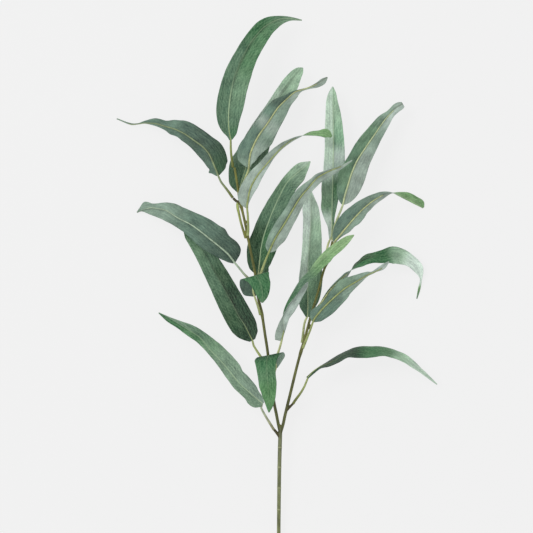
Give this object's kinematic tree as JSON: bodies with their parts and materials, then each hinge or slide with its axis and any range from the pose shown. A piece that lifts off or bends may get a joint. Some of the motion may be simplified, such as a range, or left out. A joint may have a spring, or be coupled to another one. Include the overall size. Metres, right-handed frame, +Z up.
{
  "type": "willow branch",
  "caption": "Cut branch that forks into two twigs with long narrow waved leaves on thin stalks, laid down as foliage decoration.",
  "frame": {"origin": "on the surface that the branch lies on, under the middle of its bounding box", "axes": "+Y from the cut end toward the leaf tips, +X to the right across the branch as seen from above, +Z up from the surface"},
  "size_m": [0.3877, 0.6998, 0.0693],
  "materials": {
    "stem": "satin olive bark",
    "petiole": "satin yellow-green",
    "blade_top": "matt green with fine lengthwise grain",
    "blade_underside": "matt grey-green"
  },
  "bodies": {
    "root": {"stem": "stem", "left_leaf_01_blade": "blade_top", "left_leaf_01_petiole": "petiole", "left_leaf_02_blade": "blade_underside", "left_leaf_02_petiole": "petiole", "left_leaf_03_blade": "blade_top", "left_leaf_03_petiole": "petiole", "left_leaf_04_blade": "blade_underside", "left_leaf_04_petiole": "petiole", "left_leaf_05_blade": "blade_underside", "left_leaf_05_petiole": "petiole", "left_leaf_06_blade": "blade_top", "left_leaf_06_petiole": "petiole", "left_leaf_07_blade": "blade_underside", "left_leaf_07_petiole": "petiole", "left_leaf_08_blade": "blade_underside", "left_leaf_08_petiole": "petiole", "left_leaf_09_blade": "blade_underside", "left_leaf_09_petiole": "petiole", "left_leaf_10_blade": "blade_top", "left_leaf_10_petiole": "petiole", "left_leaf_11_blade": "blade_top", "left_leaf_11_petiole": "petiole", "left_leaf_12_blade": "blade_underside", "left_leaf_12_petiole": "petiole", "left_leaf_13_blade": "blade_underside", "left_leaf_13_petiole": "petiole", "right_leaf_01_blade": "blade_top", "right_leaf_01_petiole": "petiole", "right_leaf_02_blade": "blade_underside", "right_leaf_02_petiole": "petiole", "right_leaf_03_blade": "blade_underside", "right_leaf_03_petiole": "petiole", "right_leaf_04_blade": "blade_top", "right_leaf_04_petiole": "petiole", "right_leaf_05_blade": "blade_top", "right_leaf_05_petiole": "petiole", "right_leaf_06_blade": "blade_underside", "right_leaf_06_petiole": "petiole", "right_leaf_07_blade": "blade_underside", "right_leaf_07_petiole": "petiole"}
  },
  "joints": []
}
